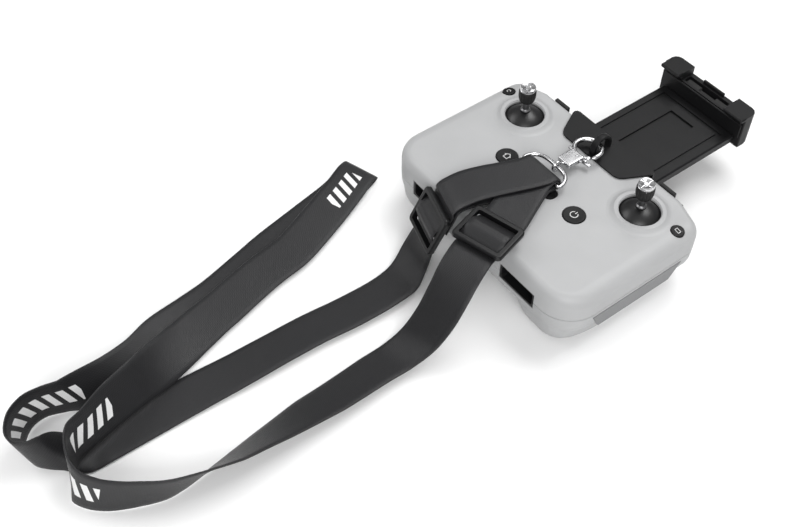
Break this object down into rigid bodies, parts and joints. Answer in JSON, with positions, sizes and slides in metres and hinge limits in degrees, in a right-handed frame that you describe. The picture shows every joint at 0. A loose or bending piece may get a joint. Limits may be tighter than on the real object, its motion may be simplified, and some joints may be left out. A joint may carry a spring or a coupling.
{
  "type": "handheld radio transmitter",
  "caption": "Handheld two-stick radio transmitter with a sliding phone holder, push buttons, a snap clasp on its eyelet and a looped neck strap with adjusting sliders.",
  "frame": {"origin": "floor point under the middle of the transmitter's own box, neck strap and its sliders left out, face up and holder out", "axes": "+X to the right stick, +Y towards the phone holder, +Z out of the face, up"},
  "size_m": [0.1863, 0.4374, 0.064],
  "materials": {
    "shell": "fine matte",
    "grip": "soft matte",
    "black_plastic": "satin",
    "gloss_black": "polished",
    "rubber": "matte",
    "chrome": "polished",
    "dark_metal": "satin",
    "steel": "brushed",
    "board": "solder mask",
    "cell_wrap": "shrink wrap",
    "webbing": "woven",
    "lens": "diffusing"
  },
  "bodies": {
    "transmitter": {"front_shell": "shell", "rear_shell": "shell", "left_grip_panel": "grip", "right_grip_panel": "grip", "rear_screw_1": "dark_metal", "rear_screw_2": "dark_metal", "rear_screw_3": "dark_metal", "rear_screw_4": "dark_metal", "phone_lip": "black_plastic", "top_trim": "black_plastic", "lanyard_eyelet": "black_plastic", "mode_switch_bezel": "black_plastic", "holder_guide": "black_plastic", "left_slider": "black_plastic", "right_slider": "black_plastic", "left_phone_rest_pad": "rubber", "right_phone_rest_pad": "rubber", "left_stick_slot": "rubber", "right_stick_slot": "rubber", "battery_lights": "lens", "gimbal_dial_axle": "steel", "usb_c_port": "steel", "main_board": "board", "clasp_swivel": "chrome", "d_ring": "chrome", "neck_strap": "webbing", "left_gimbal_frame": "black_plastic", "left_gimbal_sensor": "board", "left_battery_cell": "cell_wrap", "right_gimbal_frame": "black_plastic", "right_gimbal_sensor": "board", "right_battery_cell": "cell_wrap"},
    "left_yoke": {"left_gimbal_yoke": "dark_metal"},
    "left_stick": {"left_stick_stalk": "dark_metal", "left_stick_dome": "gloss_black", "left_stick_knob": "rubber", "left_stick_cap": "chrome"},
    "right_yoke": {"right_gimbal_yoke": "dark_metal"},
    "right_stick": {"right_stick_stalk": "dark_metal", "right_stick_dome": "gloss_black", "right_stick_knob": "rubber", "right_stick_cap": "chrome"},
    "power_key": {"power_button": "black_plastic"},
    "return_key": {"return_button": "black_plastic"},
    "custom_key": {"custom_button": "black_plastic"},
    "capture_key": {"capture_button": "black_plastic"},
    "mode_slider": {"mode_switch_knob": "rubber"},
    "dial": {"gimbal_dial": "rubber"},
    "shutter_key": {"shutter_button": "black_plastic"},
    "phone_holder": {"holder_arm": "black_plastic", "holder_jaw": "black_plastic", "jaw_pad": "rubber", "phone_lead": "rubber"},
    "clasp": {"clasp_hook": "chrome", "clasp_pin": "steel"},
    "gate": {"clasp_gate": "chrome"}
  },
  "joints": [
    {"name": "left_stick_side_to_side", "type": "hinge", "parent": "transmitter", "child": "left_yoke", "pos_m": [-0.0465, -0.0165, 0.0321], "axis": [0, 1, 0], "range_deg": [-20, 20], "stiffness_Nm_per_rad": 0.03},
    {"name": "left_stick_fore_and_aft", "type": "hinge", "parent": "left_yoke", "child": "left_stick", "pos_m": [-0.0465, -0.0165, 0.0321], "axis": [1, 0, 0], "range_deg": [-20, 20], "stiffness_Nm_per_rad": 0.03},
    {"name": "right_stick_side_to_side", "type": "hinge", "parent": "transmitter", "child": "right_yoke", "pos_m": [0.0465, -0.0165, 0.0321], "axis": [0, 1, 0], "range_deg": [-20, 20], "stiffness_Nm_per_rad": 0.03},
    {"name": "right_stick_fore_and_aft", "type": "hinge", "parent": "right_yoke", "child": "right_stick", "pos_m": [0.0465, -0.0165, 0.0321], "axis": [1, 0, 0], "range_deg": [-20, 20], "stiffness_Nm_per_rad": 0.03},
    {"name": "power_press", "type": "slide", "parent": "transmitter", "child": "power_key", "axis": [0, 0, -1], "range_m": [0, 0.0008], "stiffness_N_per_m": 400},
    {"name": "return_press", "type": "slide", "parent": "transmitter", "child": "return_key", "axis": [0, 0, -1], "range_m": [0, 0.0008], "stiffness_N_per_m": 400},
    {"name": "custom_press", "type": "slide", "parent": "transmitter", "child": "custom_key", "axis": [0.1736, 0, -0.9848], "range_m": [0, 0.0008], "stiffness_N_per_m": 300},
    {"name": "capture_press", "type": "slide", "parent": "transmitter", "child": "capture_key", "axis": [-0.1736, 0, -0.9848], "range_m": [0, 0.0008], "stiffness_N_per_m": 300},
    {"name": "mode_select", "type": "slide", "parent": "transmitter", "child": "mode_slider", "axis": [1, 0, 0], "range_m": [-0.004, 0.004]},
    {"name": "dial_turn", "type": "hinge", "parent": "transmitter", "child": "dial", "pos_m": [-0.06286, 0.00057, 0.0195], "axis": [0, 0, 1], "range_deg": [-25, 25], "stiffness_Nm_per_rad": 0.01},
    {"name": "shutter_press", "type": "slide", "parent": "transmitter", "child": "shutter_key", "axis": [-0.3162, -0.9487, 0], "range_m": [0, 0.001], "stiffness_N_per_m": 400},
    {"name": "holder_extend", "type": "slide", "parent": "transmitter", "child": "phone_holder", "axis": [0, 1, 0], "range_m": [-0.068, 0.012]},
    {"name": "clasp_swivel_turn", "type": "hinge", "parent": "transmitter", "child": "clasp", "pos_m": [-0.0012, -0.0315, 0.0476], "axis": [0, 1, 0], "range_deg": [-10, 10]},
    {"name": "gate_open", "type": "hinge", "parent": "clasp", "child": "gate", "pos_m": [0.0002, -0.02, 0.0476], "axis": [0, 0, 1], "range_deg": [0, 20], "stiffness_Nm_per_rad": 0.01}
  ]
}
